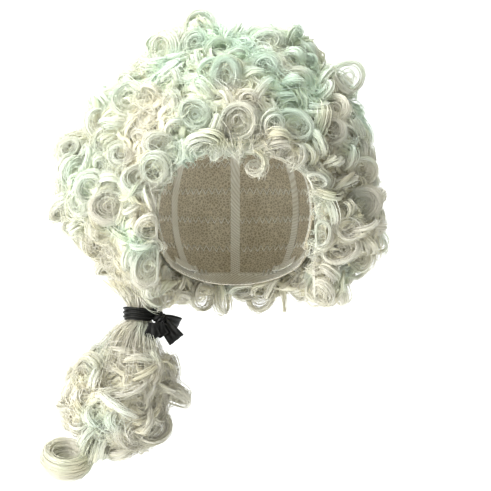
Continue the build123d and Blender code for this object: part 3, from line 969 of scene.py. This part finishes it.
def cloth_material(name, light, dark, roughness, cells=0.0, ribs=0.0, relief=0.0004):
    """Cap cloth: the open cells of a net or the ribs of elastic and tape, slightly uneven in dye.
    The cells and the grooves between ribs are painted darker as shade.
    """
    material = bpy.data.materials.new(name)
    material.use_nodes = True
    tree = material.node_tree
    shader = tree.nodes["Principled BSDF"]
    shader.inputs["Roughness"].default_value = roughness
    shader.inputs["Sheen Weight"].default_value = 0.35
    shader.inputs["Sheen Roughness"].default_value = 0.5
    place = node(tree, "ShaderNodeTexCoord").outputs["Object"]
    if cells:
        weave = node(tree, "ShaderNodeTexVoronoi", feature="DISTANCE_TO_EDGE")
        weave.inputs["Scale"].default_value = cells
        tree.links.new(place, weave.inputs["Vector"])
        pattern = weave.outputs["Distance"]
        # Threads light, open cells dark and set lower by the bump: painted shade in the holes of the
        # net.
        tone = ramp_of(tree, ((0.04, light), (0.17, dark)))
    else:
        weave = node(tree, "ShaderNodeTexWave", bands_direction="DIAGONAL")
        weave.inputs["Scale"].default_value = ribs
        weave.inputs["Distortion"].default_value = 0.6
        tree.links.new(place, weave.inputs["Vector"])
        pattern = weave.outputs["Fac"]
        # Ribs light, grooves dark and set lower by the same wave: painted shade between the ribs.
        tone = ramp_of(tree, ((0.10, dark), (0.60, light)))
    tree.links.new(pattern, tone.inputs["Fac"])
    dye = ramp_of(tree, ((0.35, (0.88, 0.86, 0.82)), (0.60, (1.0, 1.0, 1.0))))
    tree.links.new(noise_of(tree, place, (38.0, 38.0, 38.0), 3.0).outputs["Fac"], dye.inputs["Fac"])
    tree.links.new(multiplied(tree, tone.outputs["Color"], dye.outputs["Color"]),
                   shader.inputs["Base Color"])
    bump = node(tree, "ShaderNodeBump", invert=bool(cells))
    bump.inputs["Strength"].default_value = 0.6
    bump.inputs["Distance"].default_value = relief
    tree.links.new(pattern, bump.inputs["Height"])
    tree.links.new(bump.outputs["Normal"], shader.inputs["Normal"])
    return material


CAP_MATERIALS = (
    (cloth_material("stretch_net", (0.74, 0.67, 0.53), (0.43, 0.37, 0.27), 0.75, cells=380.0),
     ("cap_net",)),
    (cloth_material("woven_lining", (0.83, 0.78, 0.65), (0.70, 0.64, 0.50), 0.8, ribs=330.0),
     ("crown_patch", "ear_tab_left", "ear_tab_right")),
    (cloth_material("ribbed_elastic", (0.92, 0.90, 0.82), (0.74, 0.70, 0.60), 0.7, ribs=175.0),
     ("front_band", "nape_band", "cap_strip_front", "cap_strip_back", "cap_strip_left",
      "cap_strip_right", "cap_strip_back_left", "cap_strip_back_right", "adjuster_strap_left",
      "adjuster_strap_right")),
    (cloth_material("weft_tape", (0.84, 0.80, 0.66), (0.62, 0.56, 0.42), 0.72, ribs=240.0),
     tuple(row.replace("curls", "weft_track") for row in ROW_NODES[1:])),
    (cloth_material("moulded_hook", (0.80, 0.78, 0.71), (0.72, 0.70, 0.63), 0.42, ribs=60.0,
                    relief=0.00008),
     ("hook_loops_left", "hook_loops_right", "adjuster_hook_left", "adjuster_hook_right")),
    (cloth_material("knitted_cord", (0.045, 0.045, 0.048), (0.012, 0.012, 0.013), 0.65, ribs=250.0),
     ("hair_tie",)),
)


def dress_cap():
    for material, names in CAP_MATERIALS:
        for name in names:
            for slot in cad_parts[name].material_slots:
                slot.material = material


def on_cap(angles, headings):
    """Points just inside the net, from angles off straight up and headings round the head."""
    angles, headings = np.radians(angles), np.radians(headings)
    way = np.stack([np.sin(angles) * np.cos(headings), np.sin(angles) * np.sin(headings),
                    np.cos(angles)], -1)
    reach = 1 / np.linalg.norm(way / (HEAD + CAP_INSIDE), axis=-1)
    return HEAD_CENTRE + way * reach[..., None]


def stitches():
    """Zigzag sewing behind each weft track, and two rows of running stitch round the rim."""
    lines = []
    for start, end in zip(ROW_ENDS[1:-1], ROW_ENDS[2:]):
        sewn_at = min((start + min(end, 150)) / 2, start + 9)
        steps = int(2 * math.pi * 85 * math.sin(math.radians(sewn_at)) / 3.0)
        headings = np.linspace(0, 360, steps)
        corners = on_cap(sewn_at + 1.9 * (-1.0) ** np.arange(steps), headings)
        above = corners[:, 2] > np.interp(corners[:, 1], RIM_Y, RIM_Z) + 3
        both = np.nonzero(above[:-1] & above[1:])[0]
        lines.append(np.stack([corners[both], (corners[both] + corners[both + 1]) / 2,
                               corners[both + 1]], axis=1))
    for offset in (2.0, 10.0):
        y = np.linspace(-98, 98, 6000)
        z = np.interp(y, RIM_Y, RIM_Z) + offset
        inner = HEAD - 0.15
        share = 1 - (y / inner[1]) ** 2 - ((z - HEAD_CENTRE[2]) / inner[2]) ** 2
        y, z, x = (v[share > 0] for v in (y, z, inner[0] * np.sqrt(np.maximum(share, 0))))
        path = np.stack([x, y, z], -1)
        length = np.concatenate([[0], np.cumsum(np.linalg.norm(np.diff(path, axis=0), axis=1))])
        begins = np.arange(1.0, length[-1] - 3.0, 4.2)
        for side in (-1, 1):
            at = begins[:, None] + np.array([0.0, 1.3, 2.6])
            lines.append(np.stack([side * np.interp(at, length, path[:, 0]),
                                   np.interp(at, length, path[:, 1]),
                                   np.interp(at, length, path[:, 2])], -1))
    lines = np.concatenate(lines)
    cross = np.broadcast_to(unit(lines[:, :1] - HEAD_CENTRE), lines.shape)
    size = np.full(lines.shape[:2], 0.40)
    thread = cloth_material("sewing_thread", (0.97, 0.96, 0.90), (0.90, 0.88, 0.80), 0.5, ribs=520.0,
                            relief=0.0001)
    piece = add_piece("cap_stitches", strand_mesh("cap_stitches", lines, size, cross, 6), thread,
                      "cap_and_curls")


dress_cap()
stitches()
